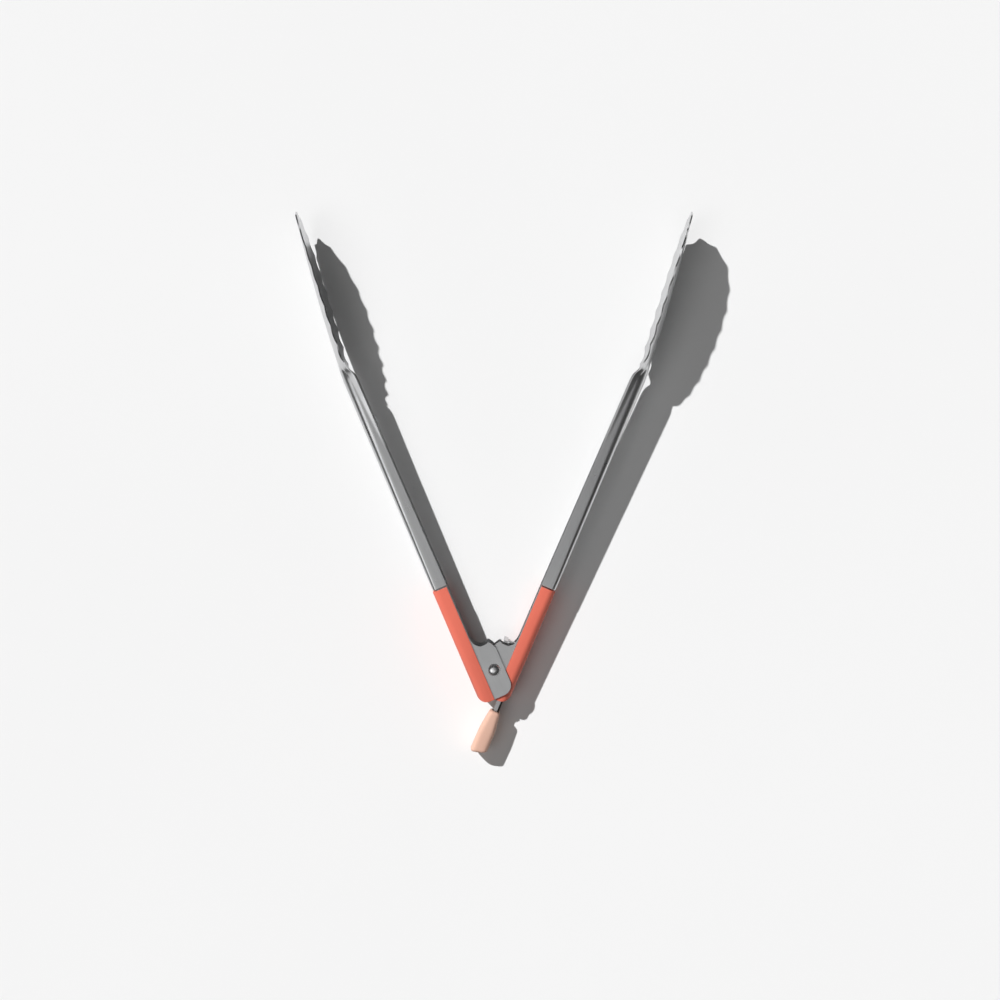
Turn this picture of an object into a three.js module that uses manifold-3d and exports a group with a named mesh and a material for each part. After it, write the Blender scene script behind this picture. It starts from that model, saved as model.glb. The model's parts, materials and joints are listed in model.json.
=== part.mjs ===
// Spring loaded kitchen tongs, open and lying on their side.
//
// Millimetres. +Z is the hinge axis, +Y points from the hinge to the tips, X runs across the open V.
// The origin is the bottom centre of the open tongs' bounding box.
//
// Each arm is drawn in its own frame: x is the distance outwards from the arm's axis to its back,
// y is the distance along the arm from the hinge axis, z is the height from the tongs' middle plane.
// The outer arm is the mirror image, in a group turned the other way.

import * as THREE from 'three';
import { mergeVertices } from 'three/addons/utils/BufferGeometryUtils.js';
import Module from 'manifold-3d';

const wasm = await Module();
wasm.setup();

// Driving dimensions
const HALF_OPENING = THREE.MathUtils.degToRad(23); // each arm's angle from the middle at rest
const HINGE = new THREE.Vector3(0, -107.21, 20.65); // the hinge axis, from the origin
const SHEET = 0.8; // steel sheet thickness
const GAP = 0.3; // space between neighbouring pieces

// Arm channel
const ARM_BACK = 14.8; // outside of the channel's back
const ARM_LIP = 6.1; // inner edge of the channel's sides
const NECK = 187; // where the channel turns into the paddle
const NECK_BACK = 15;
const NECK_LIP = 7.3;
const NECK_HALF = 7.6; // half height of the channel at the neck
const ARM_CORNER = 2.2; // bend radius between back and sides
const NECK_CORNER = 4.6;
const FLARE_START = 143; // from here the side's inner edge leans outwards, more and more
const FLARE_RISE = 0.6;
const FLARE_WIDTH = 2.9;
const OUTER_BARE_HALF = 8; // half height of the bare channel beside the grip
const INNER_BARE_HALF = 6.9;

// Hinge end, where the sheet is stepped in to seat the grips
const HEEL = -15.8; // lower end of the arms
const HEEL_RADIUS = 6;
const SEAT_BACK = 13.4;
const SEAT_END = 55.2;
const SEAT_STEP = 0.8;
const OUTER_EAR_HALF = 8.6; // outer face of the outer arm's ears
const INNER_EAR_HALF = 6.3;
const EAR_EDGE = -6; // straight free edge of the ears
const EAR_ROOT = 23; // where the ears' upper edge leaves the channel's lip
const EAR_DIP = 15.5; // the ears' upper edge at its dip and at its bump
const EAR_BUMP = 16.2;
const DIP = [-1.6, 1.8]; // breadth of the dip
const EAR_INSIDE = 10; // how far the ears run inside the channel's side
const DIP_SLOPE = [[-0.3, 18.8], [4.6, 16.7]]; // curve from the root to the dip: first from the lip
const BUMP_AT = 1.3; // from the dip's edge to the bump's top
const BUMP_EASE = 0.6; // the same to the steepest place of the step between them
const BUMP_SLOPE = [[2.1, EAR_BUMP], [2.8, 14]]; // curve from the bump to the edge, from the dip's edge
const EAR_SHOULDER = 11.6; // where the upper edge meets the free edge
const STOP_CORNER = [-0.3, 6]; // cut corner of the inner ears: its place on the heel and its height
const HEEL_CURVE = [6.8, 3.4]; // rise of the outer ears' rounded corner and of its control point
const HEEL_TURN = [-4, 0.5]; // the same, along the heel

// Paddle
const PADDLE_LENGTH = 100.5;
const PADDLE_HALF = 20.7; // greatest half width
const PADDLE_WIDEST = 58; // distance of the widest point from the neck
const PADDLE_ROOT = 60; // reach of the curve from the widest point towards the neck
const TIP_POWER = 2.5; // squareness of the curve round the tip
const PADDLE_LEAN = THREE.MathUtils.degToRad(7.3); // paddle's lean towards the other one
const PADDLE_BOW = 1.2;
const DISH_DEPTH = 4.2;
const DISH_POWER = 2.2;
const NECK_BLEND = [185, 199]; // channel turns into dish between these
const DISH_STEPS = [0, 0.22, 0.42, 0.58, 0.72, 0.84, 0.93, 1]; // section points, middle to rim
const RIM_MARGIN = 1.5; // how far the sheet runs past the rim before it is trimmed
const SCALLOPS = 10; // on each side of the tip
const SCALLOP_DEPTH = 1.5;
const OUTLINE_REACH = [-6, 22]; // breadth, outwards, of the solid that trims the arm's outline
const SCALLOP_STEPS = 6;
const CHANNEL_STATIONS = [100, FLARE_START, 158, 172]; // sections of the channel past its step
const NECK_STATIONS = [183, 186, 189, 192, 195, 198, 201]; // sections where it turns into the dish
const DISH_START = 206;
const DISH_STATIONS = 11; // spaces between the dish's sections

// Grips
const GRIP_END = 55;
const GRIP_BACK = 15.2;
const GRIP_LIP = 6.4;
const GRIP_WALL = 0.9;
const GRIP_CORNER = 4.2;

// Rivet, spacer and washers on the hinge axis
const PIN_RADIUS = 1.75;
const PIN_HOLE = PIN_RADIUS + GAP;
const RIVET_SEAT = OUTER_EAR_HALF + GAP; // height of the heads' undersides
const RIVET_HEAD_RADIUS = 3.45;
const PIN_REACH = 1.1; // how far the rivet's pin reaches into the cap
const RIVET_HEAD_HEIGHT = 1.9;
const SPACER_RADIUS = 3.2;
const WASHER_RADIUS = 4.6;

// Torsion spring
const WIRE = 1.2;
const COIL_RADIUS = 4.2;
const COIL_BOTTOM = -3.5; // height of the leg in the outer arm
const COIL_TOP = 3.9; // height of the leg in the inner arm
const COIL_TURNS = 4;
const LEG_LENGTH = 33;
const LEG_SPLAY = THREE.MathUtils.degToRad(12.7); // leg's angle from its arm's axis

// Lock slider, its guide rivet and pull tab
const STRIP_BACK = SEAT_BACK - SHEET - GAP;
const STRIP_SHEET = 1;
const STRIP_Z = [-3.8, 2.6];
const LINK_DEPTH = 3; // depth of the strip's stiffening sides outside the arm
const LINK = [-31, -3];
const BAR = [17.4, 18.4]; // lock bar, over the ears' upper edges
const BAR_HALF_WIDTH = 1.2;
const BAR_HALF_HEIGHT = 9.4;
const TONGUE_BOTTOM = -2.3;
const LOCK_TRAVEL = 1.6;
const GUIDE_AT = 8;
const GUIDE_RADIUS = 1.1;
const GUIDE_HEAD_RADIUS = 2.3;
const GUIDE_HEAD_HEIGHT = 0.6;
const GUIDE_RECESS = 1.2; // depth of the grip's recess over the guide rivet's head
const TAB = [-50, -23];
const TAB_AXIS = 10.5;
const TAB_HALF_ROOT = 3.1;
const TAB_HALF_SHOULDER = 4.7;
const TAB_SHOULDER = -36;
const TAB_HALF_END = 4.9;
const TAB_SLANT = 2.8; // how much shorter the tab is on its outer side
const TAB_SOFT = 1.6;
const TAB_HALF_HEIGHT = 6;

const material = (color, roughness, metalness) =>
  new THREE.MeshStandardMaterial({ color, roughness, metalness });

const STEEL = () => material(0xa9abad, 0.35, 1);
const POLISHED = () => material(0xc4c6c8, 0.2, 1);
const CORAL = () => material(0xe26a4f, 0.6, 0);
const PEACH = () => material(0xe3b79f, 0.6, 0);
const NYLON = () => material(0xe9e7e0, 0.5, 0);

// Solids and geometries

function solidOf(geometry) {
  const bare = geometry.clone();
  bare.deleteAttribute('normal');
  bare.deleteAttribute('uv');
  const merged = mergeVertices(bare, 1e-4);
  return new wasm.Manifold(new wasm.Mesh({
    numProp: 3,
    vertProperties: new Float32Array(merged.attributes.position.array),
    triVerts: new Uint32Array(merged.index.array),
  }));
}

function geometryOf(solid) {
  const mesh = solid.getMesh();
  const geometry = new THREE.BufferGeometry();
  geometry.setAttribute('position', new THREE.BufferAttribute(mesh.vertProperties, 3));
  geometry.setIndex(new THREE.BufferAttribute(mesh.triVerts, 1));
  geometry.computeVertexNormals();
  return geometry;
}

function mirrored(geometry) {
  const copy = mergeVertices(geometry).scale(-1, 1, 1);
  copy.setIndex([...copy.index.array].reverse());
  copy.computeVertexNormals();
  return copy;
}

// Outline in the arm's plan (x outwards, y along the arm), between two heights.
function planPrism(shape, low, high, curveSegments = 6) {
  const options = { depth: high - low, bevelEnabled: false, curveSegments };
  return new THREE.ExtrudeGeometry(shape, options).translate(0, 0, low);
}

// Cross-section outline (x outwards, y up), between two distances along the arm.
function sectionPrism(shape, start, end, curveSegments = 5) {
  const options = { depth: end - start, bevelEnabled: false, curveSegments };
  const along = new THREE.ExtrudeGeometry(shape, options).rotateX(Math.PI / 2);
  return along.translate(0, end, 0);
}

function box(x, y, z) {
  const size = [x, y, z].map(([low, high]) => high - low);
  const centre = [x, y, z].map(([low, high]) => (low + high) / 2);
  return new THREE.BoxGeometry(...size).translate(...centre);
}

// Straight cylinder along z, between two heights.
function pin(radius, low, high, sides = 24) {
  const geometry = new THREE.CylinderGeometry(radius, radius, high - low, sides);
  return geometry.rotateX(Math.PI / 2).translate(0, 0, (low + high) / 2);
}

// Ring about z: a closed rectangular profile between two radii and two heights.
function ring(inner, outer, low, high, sides = 24) {
  const profile = [
    new THREE.Vector2(inner, low),
    new THREE.Vector2(outer, low),
    new THREE.Vector2(outer, high),
    new THREE.Vector2(inner, high),
    new THREE.Vector2(inner, low),
  ];
  return new THREE.LatheGeometry(profile, sides).rotateX(Math.PI / 2);
}

// Arms

const smooth = THREE.MathUtils.smoothstep;
const mix = THREE.MathUtils.lerp;

// Half of the paddle's rim from the tip to the neck: x is the half width, y the place along the arm.
class HalfRim extends THREE.Curve {
  getPoint(t) {
    if (t < 0.5) {
      const angle = Math.PI * t;
      const half = PADDLE_HALF * Math.sin(angle) ** (2 / TIP_POWER);
      const reach = (PADDLE_LENGTH - PADDLE_WIDEST) * Math.cos(angle) ** (2 / TIP_POWER);
      return new THREE.Vector2(half, NECK + PADDLE_WIDEST + reach);
    }
    const angle = (2 * t - 1) * Math.asin(PADDLE_WIDEST / PADDLE_ROOT);
    const half = PADDLE_HALF * Math.cos(angle);
    return new THREE.Vector2(half, NECK + PADDLE_WIDEST - PADDLE_ROOT * Math.sin(angle));
  }
}

function scallopedHalf() {
  const rim = new HalfRim();
  const points = [];
  const steps = SCALLOPS * SCALLOP_STEPS;
  for (let i = 0; i <= steps; i += 1) {
    const point = rim.getPointAt(i / steps);
    const tangent = rim.getTangentAt(i / steps);
    const wave = Math.sin((Math.PI * (i % SCALLOP_STEPS)) / SCALLOP_STEPS) ** 1.2;
    const inwards = new THREE.Vector2(tangent.y, -tangent.x).multiplyScalar(SCALLOP_DEPTH * wave);
    points.push(point.add(inwards));
  }
  return points;
}

// Outline of the whole arm seen from its back (x across, y along): channel, then scalloped paddle.
function armOutline() {
  const wide = OUTER_BARE_HALF + 3;
  const waist = NECK_HALF + FLARE_RISE + GAP;
  const half = scallopedHalf().filter((p) => p.y > NECK && (p.x > waist || p.y > NECK + PADDLE_WIDEST));
  const toTip = [
    new THREE.Vector2(wide, HEEL - 1),
    new THREE.Vector2(wide, NECK - 1),
    new THREE.Vector2(waist, NECK),
    ...half.reverse(),
  ];
  const back = toTip.slice(0, -1).map((p) => new THREE.Vector2(-p.x, p.y));
  return new THREE.Shape([...toTip, ...back.reverse()]);
}

// Half width of the paddle without its scallops.
function paddleHalfAt(along) {
  const fromWidest = along - NECK - PADDLE_WIDEST;
  if (fromWidest < 0) {
    const reach = Math.min(1, -fromWidest / PADDLE_ROOT);
    return PADDLE_HALF * Math.sqrt(1 - reach * reach);
  }
  const reach = fromWidest / (PADDLE_LENGTH - PADDLE_WIDEST);
  return PADDLE_HALF * Math.max(0, 1 - reach ** TIP_POWER) ** (1 / TIP_POWER);
}

function paddleBackAt(along) {
  const fromNeck = along - NECK;
  const part = THREE.MathUtils.clamp(fromNeck / PADDLE_LENGTH, 0, 1);
  return NECK_BACK - fromNeck * Math.tan(PADDLE_LEAN) + PADDLE_BOW * 4 * part * (1 - part);
}

// Half of the channel's outside, from the middle of its back to its lip: x outwards, y up.
function channelSide(along, arm) {
  const seated = along <= SEAT_END;
  const part = (along - SEAT_END) / (NECK - SEAT_END);
  const back = seated ? SEAT_BACK : mix(ARM_BACK, NECK_BACK, part);
  const corner = seated ? ARM_CORNER : mix(ARM_CORNER, NECK_CORNER, part);
  const half = seated ? arm.earHalf : mix(arm.bareHalf, NECK_HALF, part);
  const lip = seated ? ARM_LIP : mix(ARM_LIP, NECK_LIP, part);
  const flare = THREE.MathUtils.clamp((along - FLARE_START) / (NECK - FLARE_START), 0, 1);
  const fold = lip + mix(1, FLARE_WIDTH, flare);
  const bend = [60, 30].map((degrees) => {
    const angle = THREE.MathUtils.degToRad(degrees);
    const x = back - corner + corner * Math.sin(angle);
    return [x, half - corner + corner * Math.cos(angle)];
  });
  return [
    [back, 0],
    [back, (half - corner) / 2],
    [back, half - corner],
    ...bend,
    [back - corner, half],
    [fold, half],
    [lip, half + FLARE_RISE * flare],
  ];
}

// The same for the dished paddle, a little past its rim. The dish is equally deep along most of its
// length and runs out at the tip.
function dishSide(along) {
  const half = Math.max(paddleHalfAt(along), NECK_HALF);
  const reach = half + RIM_MARGIN;
  const back = paddleBackAt(along);
  const part = THREE.MathUtils.clamp((along - NECK) / PADDLE_LENGTH, 0, 1);
  const depth = DISH_DEPTH * (1 - part ** 3);
  return DISH_STEPS.map((step) => [back - depth * ((reach * step) / half) ** DISH_POWER, reach * step]);
}

// Closed section of the sheet: outside from the upper lip to the lower one, then back inside.
function sheetSection(along, arm) {
  const blend = smooth(along, ...NECK_BLEND);
  const channel = channelSide(along, arm);
  const side = dishSide(along).map(([x, y], i) => {
    const [channelX, channelY] = channel[i];
    return new THREE.Vector2(mix(channelX, x, blend), mix(channelY, y, blend));
  });
  const lower = side.slice(1).map((p) => new THREE.Vector2(p.x, -p.y));
  const outside = [...side.reverse(), ...lower];
  const inside = outside.map((point, i) => {
    const before = outside[Math.max(i - 1, 0)];
    const after = outside[Math.min(i + 1, outside.length - 1)];
    const way = after.clone().sub(before).normalize();
    return new THREE.Vector2(point.x + way.y * SHEET, point.y - way.x * SHEET);
  });
  return { outside, inside };
}

function loftSheet(stations, arm) {
  const positions = [];
  let count = 0;
  for (const along of stations) {
    const { outside, inside } = sheetSection(along, arm);
    const loop = [...outside, ...inside.reverse()];
    count = loop.length;
    for (const point of loop) {
      positions.push(point.x, along, point.y);
    }
  }
  const index = [];
  const quad = (a, b, c, d) => index.push(a, b, c, a, c, d);
  for (let k = 0; k < stations.length - 1; k += 1) {
    for (let j = 0; j < count; j += 1) {
      const next = (j + 1) % count;
      const [near, far] = [k * count, (k + 1) * count];
      quad(near + j, near + next, far + next, far + j);
    }
  }
  const last = (stations.length - 1) * count;
  for (let j = 0; j < count / 2 - 1; j += 1) {
    const [a, b, c, d] = [j, j + 1, count - 2 - j, count - 1 - j];
    quad(a, d, c, b);
    quad(last + a, last + b, last + c, last + d);
  }
  const geometry = new THREE.BufferGeometry();
  geometry.setAttribute('position', new THREE.Float32BufferAttribute(positions, 3));
  geometry.setIndex(index);
  return geometry;
}

function armStations() {
  const stations = [HEEL, SEAT_END, SEAT_END + SEAT_STEP, ...CHANNEL_STATIONS, ...NECK_STATIONS];
  const end = NECK + PADDLE_LENGTH + RIM_MARGIN;
  for (let i = 0; i <= DISH_STATIONS; i += 1) {
    stations.push(mix(DISH_START, end, i / DISH_STATIONS));
  }
  return stations;
}

// Hinge ear in plan. Its upper edge dips at the middle, where the lock bar drops in, and rises to a
// bump beyond it that the bar catches.
function earShape(arm) {
  const [dipLow, dipHigh] = DIP;
  const [[lipPull, lipRise], [dipPull, dipRise]] = DIP_SLOPE;
  const [[bumpPull, bumpRise], [edgePull, edgeRise]] = BUMP_SLOPE;
  const shape = new THREE.Shape();
  shape.moveTo(EAR_INSIDE, EAR_ROOT + 1);
  shape.lineTo(ARM_LIP, EAR_ROOT);
  shape.bezierCurveTo(ARM_LIP + lipPull, lipRise, dipPull, dipRise, dipHigh, EAR_DIP);
  shape.lineTo(dipLow, EAR_DIP);
  shape.bezierCurveTo(dipLow - BUMP_EASE, EAR_DIP, dipLow - BUMP_EASE, EAR_BUMP, dipLow - BUMP_AT, EAR_BUMP);
  shape.bezierCurveTo(dipLow - bumpPull, bumpRise, dipLow - edgePull, edgeRise, EAR_EDGE, EAR_SHOULDER);
  if (arm.stopCorner) {
    const [corner, rise] = STOP_CORNER;
    shape.lineTo(EAR_EDGE, HEEL + rise);
    shape.lineTo(corner, HEEL);
  } else {
    const [rise, pull] = HEEL_CURVE;
    const [turn, end] = HEEL_TURN;
    shape.lineTo(EAR_EDGE, HEEL + rise);
    shape.bezierCurveTo(EAR_EDGE, HEEL + pull, turn, HEEL, end, HEEL);
  }
  shape.lineTo(EAR_INSIDE - 2, HEEL);
  shape.lineTo(EAR_INSIDE, HEEL + 2);
  return shape;
}

// What the rounded heel takes off the square end of the back.
function heelCorner(back, radius) {
  const shape = new THREE.Shape();
  shape.moveTo(back + 1, HEEL + radius);
  shape.lineTo(back + 1, HEEL - 1);
  shape.lineTo(back - radius, HEEL - 1);
  shape.lineTo(back - radius, HEEL);
  shape.absarc(back - radius, HEEL + radius, radius, -Math.PI / 2, 0, false);
  return shape;
}

function makeArm(arm) {
  const depth = OUTLINE_REACH[1] - OUTLINE_REACH[0];
  const outline = new THREE.ExtrudeGeometry(armOutline(), { depth, bevelEnabled: false });
  outline.rotateY(Math.PI / 2).translate(OUTLINE_REACH[0], 0, 0);
  let solid = solidOf(loftSheet(armStations(), arm)).intersect(solidOf(outline));
  const tall = arm.earHalf + 1;
  const heel = heelCorner(SEAT_BACK + 0.1, HEEL_RADIUS - 1.5);
  solid = solid.subtract(solidOf(planPrism(heel, -tall, tall)));
  const ear = earShape(arm);
  for (const low of [arm.earHalf - SHEET, -arm.earHalf]) {
    solid = solid.add(solidOf(planPrism(ear, low, low + SHEET)));
  }
  solid = solid.subtract(solidOf(pin(PIN_HOLE, -tall, tall)));
  if (arm.guided) {
    solid = solid.subtract(solidOf(crossPin(GUIDE_RADIUS + GAP, SEAT_BACK - 2, SEAT_BACK + 1)));
  }
  return geometryOf(solid);
}

// Cylinder along x at the guide rivet's place.
function crossPin(radius, low, high, sides = 16) {
  const geometry = new THREE.CylinderGeometry(radius, radius, high - low, sides);
  geometry.rotateZ(Math.PI / 2);
  return geometry.translate((low + high) / 2, GUIDE_AT, (STRIP_Z[0] + STRIP_Z[1]) / 2);
}

// Grips

function gripSection(half, back, lip, corner) {
  const shape = new THREE.Shape();
  shape.moveTo(lip, -half);
  shape.lineTo(back - corner, -half);
  shape.absarc(back - corner, corner - half, corner, -Math.PI / 2, 0, false);
  shape.lineTo(back, half - corner);
  shape.absarc(back - corner, half - corner, corner, 0, Math.PI / 2, false);
  shape.lineTo(lip, half);
  return shape;
}

// Sleeve over the back and both sides of an arm's hinge end.
function makeGrip(arm) {
  const half = arm.earHalf + GAP + GRIP_WALL;
  const outer = sectionPrism(gripSection(half, GRIP_BACK, GRIP_LIP, GRIP_CORNER), HEEL, GRIP_END);
  const seat = gripSection(half - GRIP_WALL, SEAT_BACK + GAP, GRIP_LIP - 1, ARM_CORNER);
  const inner = sectionPrism(seat, HEEL - 1, GRIP_END + 1);
  let solid = solidOf(outer).subtract(solidOf(inner));
  const heel = heelCorner(GRIP_BACK, HEEL_RADIUS);
  solid = solid.subtract(solidOf(planPrism(heel, -half - 1, half + 1)));
  if (arm.guided) {
    const recess = crossPin(GUIDE_HEAD_RADIUS + GAP, SEAT_BACK, SEAT_BACK + GUIDE_RECESS);
    solid = solid.subtract(solidOf(recess));
  }
  return geometryOf(solid);
}

// Hinge pieces

function domePoints(radius, base, height) {
  const points = [];
  const steps = 6;
  for (let i = 0; i <= steps; i += 1) {
    const angle = (Math.PI / 2) * (i / steps);
    points.push(new THREE.Vector2(radius * Math.cos(angle), base + height * Math.sin(angle)));
  }
  points[steps].x = 0;
  return points;
}

function makeRivet() {
  const profile = [
    new THREE.Vector2(0, -RIVET_SEAT - PIN_REACH),
    new THREE.Vector2(PIN_RADIUS, -RIVET_SEAT - PIN_REACH),
    new THREE.Vector2(PIN_RADIUS, RIVET_SEAT),
    ...domePoints(RIVET_HEAD_RADIUS, RIVET_SEAT, RIVET_HEAD_HEIGHT),
  ];
  return new THREE.LatheGeometry(profile, 24).rotateX(Math.PI / 2);
}

function makeRivetCap() {
  const dome = domePoints(RIVET_HEAD_RADIUS, -RIVET_SEAT, -RIVET_HEAD_HEIGHT).reverse();
  const profile = [
    ...dome,
    new THREE.Vector2(PIN_HOLE, -RIVET_SEAT),
    new THREE.Vector2(PIN_HOLE, -RIVET_SEAT - PIN_REACH - GAP),
    new THREE.Vector2(0, -RIVET_SEAT - PIN_REACH - GAP),
  ];
  return new THREE.LatheGeometry(profile, 24).rotateX(Math.PI / 2);
}

// Centre line of the spring's wire: a leg along each arm's back and the coil between them.
class SpringLine extends THREE.Curve {
  getPoint(t) {
    const start = Math.PI / 2 + HALF_OPENING + LEG_SPLAY + Math.PI / 2;
    const sweep = 2 * Math.PI * COIL_TURNS + 3 * Math.PI - 2 * start;
    const coil = sweep * COIL_RADIUS;
    const travelled = t * (coil + 2 * LEG_LENGTH);
    const turned = THREE.MathUtils.clamp(travelled - LEG_LENGTH, 0, coil);
    const angle = start + turned / COIL_RADIUS;
    const straight = travelled - LEG_LENGTH - turned;
    const x = COIL_RADIUS * Math.cos(angle) - straight * Math.sin(angle);
    const y = COIL_RADIUS * Math.sin(angle) + straight * Math.cos(angle);
    return new THREE.Vector3(x, y, mix(COIL_BOTTOM, COIL_TOP, turned / coil));
  }
}

function makeSpring() {
  const wire = new THREE.Shape();
  wire.absarc(0, 0, WIRE / 2, 0, 2 * Math.PI, false);
  const options = { steps: 90, curveSegments: 4, extrudePath: new SpringLine() };
  return new THREE.ExtrudeGeometry(wire, options);
}

// Lock

function makeSlider() {
  const inner = STRIP_BACK - STRIP_SHEET;
  const [bottom, top] = STRIP_Z;
  const strip = box([inner, STRIP_BACK], [LINK[0], BAR[1]], STRIP_Z);
  const tongue = box([-BAR_HALF_WIDTH, STRIP_BACK], BAR, [TONGUE_BOTTOM, top]);
  const bar = box([-BAR_HALF_WIDTH, BAR_HALF_WIDTH], BAR, [-BAR_HALF_HEIGHT, BAR_HALF_HEIGHT]);
  const sides = [[bottom, bottom + STRIP_SHEET], [top - STRIP_SHEET, top]].map((z) =>
    box([STRIP_BACK - LINK_DEPTH, STRIP_BACK], LINK, z));
  let solid = solidOf(strip);
  for (const piece of [tongue, bar, ...sides]) {
    solid = solid.add(solidOf(piece));
  }
  const slotHalf = GUIDE_RADIUS + GAP;
  const middle = (bottom + top) / 2;
  const slot = box(
    [inner - 1, STRIP_BACK + 1],
    [GUIDE_AT - slotHalf, GUIDE_AT + slotHalf + LOCK_TRAVEL],
    [middle - slotHalf, middle + slotHalf],
  );
  return geometryOf(solid.subtract(solidOf(slot)));
}

function makeGuideRivet() {
  const headFace = STRIP_BACK - STRIP_SHEET - GAP;
  const seat = SEAT_BACK + GAP;
  const overlap = GUIDE_HEAD_HEIGHT / 2;
  const shaft = crossPin(GUIDE_RADIUS, headFace - overlap, seat + overlap);
  const inside = crossPin(GUIDE_HEAD_RADIUS, headFace - GUIDE_HEAD_HEIGHT, headFace);
  const outside = crossPin(GUIDE_HEAD_RADIUS, seat, seat + GUIDE_HEAD_HEIGHT);
  return geometryOf(solidOf(shaft).add(solidOf(inside)).add(solidOf(outside)));
}

// Soft tab, wider towards its end and cut at a slant there.
function makeTab() {
  const [end, root] = TAB;
  const nose = TAB_HALF_END - TAB_SOFT;
  const [inside, outside] = [end + TAB_SOFT, end + TAB_SOFT + TAB_SLANT];
  const shape = new THREE.Shape();
  shape.moveTo(TAB_HALF_ROOT - TAB_SOFT, root - TAB_SOFT);
  shape.lineTo(TAB_SOFT - TAB_HALF_ROOT, root - TAB_SOFT);
  shape.lineTo(TAB_SOFT - TAB_HALF_SHOULDER, TAB_SHOULDER);
  shape.lineTo(-nose, inside + TAB_SLANT);
  shape.quadraticCurveTo(-nose, inside, nose - TAB_HALF_END, inside);
  shape.lineTo(nose - TAB_SOFT / 2, outside - TAB_SOFT / 4);
  shape.quadraticCurveTo(nose, outside, nose, outside + TAB_SOFT);
  shape.lineTo(TAB_HALF_SHOULDER - TAB_SOFT, TAB_SHOULDER);
  const body = new THREE.ExtrudeGeometry(shape, {
    depth: 2 * (TAB_HALF_HEIGHT - TAB_SOFT),
    bevelThickness: TAB_SOFT,
    bevelSize: TAB_SOFT,
    bevelSegments: 3,
    curveSegments: 5,
  });
  body.translate(TAB_AXIS, 0, TAB_SOFT - TAB_HALF_HEIGHT);
  const socket = box(
    [STRIP_BACK - LINK_DEPTH - GAP, STRIP_BACK + GAP],
    [LINK[0] - GAP, root + 1],
    [STRIP_Z[0] - GAP, STRIP_Z[1] + GAP],
  );
  return geometryOf(solidOf(body).subtract(solidOf(socket)));
}

// Assembly

const outer = { bareHalf: OUTER_BARE_HALF, earHalf: OUTER_EAR_HALF, guided: false, stopCorner: false };
const inner = { bareHalf: INNER_BARE_HALF, earHalf: INNER_EAR_HALF, guided: true, stopCorner: true };

const group = new THREE.Group();
group.position.copy(HINGE);

const outerSide = new THREE.Group();
outerSide.rotation.z = HALF_OPENING;
const innerSide = new THREE.Group();
innerSide.rotation.z = -HALF_OPENING;
group.add(outerSide, innerSide);

function place(parent, name, geometry, look) {
  const mesh = new THREE.Mesh(geometry, look);
  mesh.name = name;
  parent.add(mesh);
}

place(outerSide, 'outer_arm', mirrored(makeArm(outer)), STEEL());
place(outerSide, 'outer_grip', mirrored(makeGrip(outer)), CORAL());
place(innerSide, 'inner_arm', makeArm(inner), STEEL());
place(innerSide, 'inner_grip', makeGrip(inner), CORAL());
place(innerSide, 'guide_rivet', makeGuideRivet(), POLISHED());
place(innerSide, 'lock_slider', makeSlider(), STEEL());
place(innerSide, 'pull_tab', makeTab(), PEACH());

place(group, 'pivot_rivet', makeRivet(), POLISHED());
place(group, 'rivet_cap', makeRivetCap(), POLISHED());
place(group, 'torsion_spring', makeSpring(), POLISHED());
const spacerHalf = INNER_EAR_HALF - SHEET - GAP;
place(group, 'spacer_tube', ring(PIN_HOLE, SPACER_RADIUS, -spacerHalf, spacerHalf), STEEL());
const [washerLow, washerHigh] = [INNER_EAR_HALF + GAP, OUTER_EAR_HALF - SHEET - GAP];
place(group, 'upper_washer', ring(PIN_HOLE, WASHER_RADIUS, washerLow, washerHigh), NYLON());
place(group, 'lower_washer', ring(PIN_HOLE, WASHER_RADIUS, -washerHigh, -washerLow), NYLON());

export default group;
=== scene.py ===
"""Spring loaded kitchen tongs, open, lying on a pale floor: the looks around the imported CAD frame."""

import json
import math

import bmesh
import bpy
from mathutils import Matrix, Vector


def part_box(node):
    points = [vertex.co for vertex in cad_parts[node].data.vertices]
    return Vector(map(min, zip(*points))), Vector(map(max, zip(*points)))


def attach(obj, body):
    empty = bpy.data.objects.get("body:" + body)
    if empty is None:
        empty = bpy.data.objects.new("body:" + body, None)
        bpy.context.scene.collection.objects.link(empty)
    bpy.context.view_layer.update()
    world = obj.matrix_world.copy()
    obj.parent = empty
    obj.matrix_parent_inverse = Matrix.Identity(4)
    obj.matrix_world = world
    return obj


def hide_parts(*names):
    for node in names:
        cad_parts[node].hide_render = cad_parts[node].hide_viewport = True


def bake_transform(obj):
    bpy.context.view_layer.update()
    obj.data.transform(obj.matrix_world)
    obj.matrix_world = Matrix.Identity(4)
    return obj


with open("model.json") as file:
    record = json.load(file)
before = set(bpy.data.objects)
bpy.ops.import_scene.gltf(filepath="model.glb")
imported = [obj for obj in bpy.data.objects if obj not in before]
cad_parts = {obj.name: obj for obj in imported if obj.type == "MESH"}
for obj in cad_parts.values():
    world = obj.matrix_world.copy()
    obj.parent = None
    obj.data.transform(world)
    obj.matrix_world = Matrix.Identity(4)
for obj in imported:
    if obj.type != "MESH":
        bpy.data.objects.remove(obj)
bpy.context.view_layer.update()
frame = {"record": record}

MM = 0.001
HINGE = Vector(frame["record"]["behaviour"]["joints"][0]["pos_m"])
HALF_OPENING = math.radians(23)  # each arm's angle from the middle at rest

# All sizes below are in millimetres, in an arm's own frame: x outwards from the arm's axis to its
# back, y along the arm from the hinge, z up from the tongs' middle plane.
GAP = 0.3  # space between neighbouring pieces
SHEET = 0.8  # steel sheet thickness
SHEET_EDGE = 0.27  # radius of the sheet's rounded edges

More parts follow.
